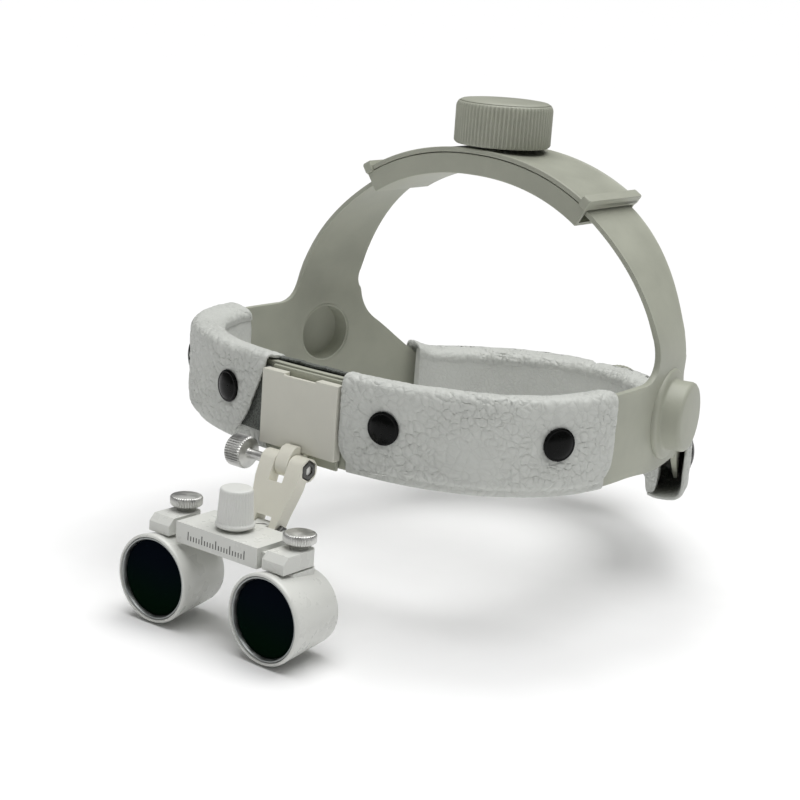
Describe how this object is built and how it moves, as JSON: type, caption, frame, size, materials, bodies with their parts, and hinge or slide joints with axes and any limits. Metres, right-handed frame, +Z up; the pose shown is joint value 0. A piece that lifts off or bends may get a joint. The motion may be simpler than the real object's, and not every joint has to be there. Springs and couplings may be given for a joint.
{
  "type": "dental loupes",
  "caption": "Head-worn binocular loupes: padded adjustable headband, flip-up arm on a front bracket, and a bridge with two swivelling telescopes.",
  "frame": {"origin": "centre of the head opening, level with the axis of the two temple bosses", "axes": "+Z up the wearer's head, -Y forwards to the telescopes, +X to the wearer's left"},
  "size_m": [0.1906, 0.265, 0.1799],
  "materials": {
    "band_plastic": "moulded grey-olive ABS, fine satin grain",
    "pad_leather": "white pebbled leather over foam",
    "pad_suede": "grey suede lining edge",
    "pad_thread": "white stitching",
    "snap_cap": "black gloss enamel",
    "bracket_cream": "cream moulded, satin",
    "white_lacquer": "white lacquer, satin",
    "white_plastic": "white moulded nylon",
    "scale_ink": "printed graduation",
    "satin_steel": "nickel plated, satin",
    "dark_steel": "blackened",
    "lens_ring": "anodised grey",
    "lens_glass": "coated, dark green reflection"
  },
  "bodies": {
    "headband": {"front_band": "band_plastic", "front_cushion": "pad_leather", "front_snap_left_front": "snap_cap", "front_snap_left_side": "snap_cap", "front_snap_right_front": "snap_cap", "front_snap_right_side": "snap_cap", "bracket_base": "band_plastic", "bracket_screw_upper": "satin_steel", "bracket_screw_lower": "satin_steel", "bracket_cover": "bracket_cream"},
    "left_strap": {"left_strap": "band_plastic"},
    "right_strap": {"right_strap": "band_plastic"},
    "crown_housing": {"crown_base": "band_plastic", "crown_cover": "band_plastic", "crown_washer": "satin_steel"},
    "crown_adjuster": {"crown_knob": "band_plastic", "crown_knob_cap": "band_plastic", "crown_pinion": "white_plastic", "crown_knob_screw": "satin_steel"},
    "left_arm": {"left_rear_arm": "band_plastic"},
    "right_arm": {"right_rear_arm": "band_plastic"},
    "rear_housing": {"rear_base": "band_plastic", "rear_cover": "band_plastic", "rear_washer": "satin_steel", "rear_cushion": "pad_leather", "rear_snap_left_inner": "snap_cap", "rear_snap_left_outer": "snap_cap", "rear_snap_right_inner": "snap_cap", "rear_snap_right_outer": "snap_cap"},
    "rear_adjuster": {"rear_knob": "band_plastic", "rear_knob_cap": "band_plastic", "rear_pinion": "white_plastic", "rear_knob_screw": "satin_steel"},
    "slide": {"slide_plate": "bracket_cream"},
    "flip_link": {"flip_arm": "bracket_cream", "flip_nut": "dark_steel", "tilt_screw": "satin_steel", "tilt_nut": "dark_steel"},
    "flip_clamp": {"flip_thumbscrew": "satin_steel"},
    "bridge": {"bridge_body": "white_lacquer", "bridge_floor": "white_lacquer"},
    "pd_drive": {"pd_knob": "white_plastic", "pd_pinion": "white_plastic"},
    "left_carriage": {"left_carriage": "white_lacquer"},
    "left_clamp": {"left_thumbscrew": "satin_steel"},
    "left_telescope": {"left_barrel": "white_lacquer", "left_objective_ring": "lens_ring", "left_objective_lens": "lens_glass", "left_eyepiece_ring": "lens_ring", "left_eyepiece_lens": "lens_glass"},
    "right_carriage": {"right_carriage": "white_lacquer"},
    "right_clamp": {"right_thumbscrew": "satin_steel"},
    "right_telescope": {"right_barrel": "white_lacquer", "right_objective_ring": "lens_ring", "right_objective_lens": "lens_glass", "right_eyepiece_ring": "lens_ring", "right_eyepiece_lens": "lens_glass"}
  },
  "joints": [
    {"name": "crown_lift", "type": "slide", "parent": "headband", "child": "crown_housing", "axis": [0, 0, 1], "range_m": [-0.0045, 0.005]},
    {"name": "left_strap_flex", "type": "hinge", "parent": "headband", "child": "left_strap", "pos_m": [0.082, 0, 0.003], "axis": [0, 1, 0], "range_deg": [-3.6, 3.6]},
    {"name": "right_strap_flex", "type": "hinge", "parent": "headband", "child": "right_strap", "pos_m": [-0.082, 0, 0.003], "axis": [0, -1, 0], "range_deg": [-3.6, 3.6]},
    {"name": "crown_knob_turn", "type": "hinge", "parent": "crown_housing", "child": "crown_adjuster", "pos_m": [0, 0.0018, 0.0858], "axis": [0, 0, 1], "range_deg": [-54, 60]},
    {"name": "rear_slide", "type": "slide", "parent": "headband", "child": "rear_housing", "axis": [0, 1, 0], "range_m": [-0.004, 0.005]},
    {"name": "left_arm_flex", "type": "hinge", "parent": "headband", "child": "left_arm", "pos_m": [0.08, 0.018, 0], "axis": [0, 0, -1], "range_deg": [-3, 3.7]},
    {"name": "right_arm_flex", "type": "hinge", "parent": "headband", "child": "right_arm", "pos_m": [-0.08, 0.018, 0], "axis": [0, 0, 1], "range_deg": [-3, 3.7]},
    {"name": "rear_knob_turn", "type": "hinge", "parent": "rear_housing", "child": "rear_adjuster", "pos_m": [0, 0.09, -0.024], "axis": [0, 1, 0], "range_deg": [-43, 53]},
    {"name": "bracket_slide", "type": "slide", "parent": "headband", "child": "slide", "axis": [0, 0, 1], "range_m": [-0.006, 0]},
    {"name": "flip_hinge", "type": "hinge", "parent": "slide", "child": "flip_link", "pos_m": [0, -0.1125, -0.0152], "axis": [-1, 0, 0], "range_deg": [-15, 90]},
    {"name": "flip_clamp_turn", "type": "hinge", "parent": "flip_link", "child": "flip_clamp", "pos_m": [0, -0.1125, -0.0152], "axis": [-1, 0, 0], "range_deg": [-360, 0]},
    {"name": "tilt_hinge", "type": "hinge", "parent": "flip_link", "child": "bridge", "pos_m": [0, -0.123, -0.036], "axis": [-1, 0, 0], "range_deg": [-20, 20]},
    {"name": "left_pd_slide", "type": "slide", "parent": "bridge", "child": "left_carriage", "axis": [1, 0, 0], "range_m": [-0.0008, 0.008]},
    {"name": "right_pd_slide", "type": "slide", "parent": "bridge", "child": "right_carriage", "axis": [-1, 0, 0], "range_m": [-0.0008, 0.008]},
    {"name": "pd_knob_turn", "type": "hinge", "parent": "bridge", "child": "pd_drive", "pos_m": [0, -0.1384, -0.03], "axis": [0, 0, 1], "range_deg": [-16, 154]},
    {"name": "left_telescope_swivel", "type": "hinge", "parent": "left_carriage", "child": "left_telescope", "pos_m": [0.0264, -0.1352, -0.04], "axis": [0, 0, 1], "range_deg": [-3, 6]},
    {"name": "left_clamp_turn", "type": "hinge", "parent": "left_carriage", "child": "left_clamp", "pos_m": [0.0264, -0.1352, -0.03], "axis": [0, 0, 1], "range_deg": [0, 360]},
    {"name": "right_telescope_swivel", "type": "hinge", "parent": "right_carriage", "child": "right_telescope", "pos_m": [-0.0264, -0.1352, -0.04], "axis": [0, 0, -1], "range_deg": [-3, 6]},
    {"name": "right_clamp_turn", "type": "hinge", "parent": "right_carriage", "child": "right_clamp", "pos_m": [-0.0264, -0.1352, -0.03], "axis": [0, 0, 1], "range_deg": [0, 360]}
  ],
  "couplings": [
    {"joint": "left_strap_flex", "follows": "crown_lift", "rad_per_m": 12.195},
    {"joint": "right_strap_flex", "follows": "crown_lift", "rad_per_m": 12.195},
    {"joint": "crown_knob_turn", "follows": "crown_lift", "rad_per_m": 201.95},
    {"joint": "left_arm_flex", "follows": "rear_slide", "rad_per_m": 12.5},
    {"joint": "right_arm_flex", "follows": "rear_slide", "rad_per_m": 12.5},
    {"joint": "rear_knob_turn", "follows": "rear_slide", "rad_per_m": 180},
    {"joint": "right_pd_slide", "follows": "left_pd_slide", "ratio": 1},
    {"joint": "pd_knob_turn", "follows": "left_pd_slide", "rad_per_m": 333.33}
  ]
}
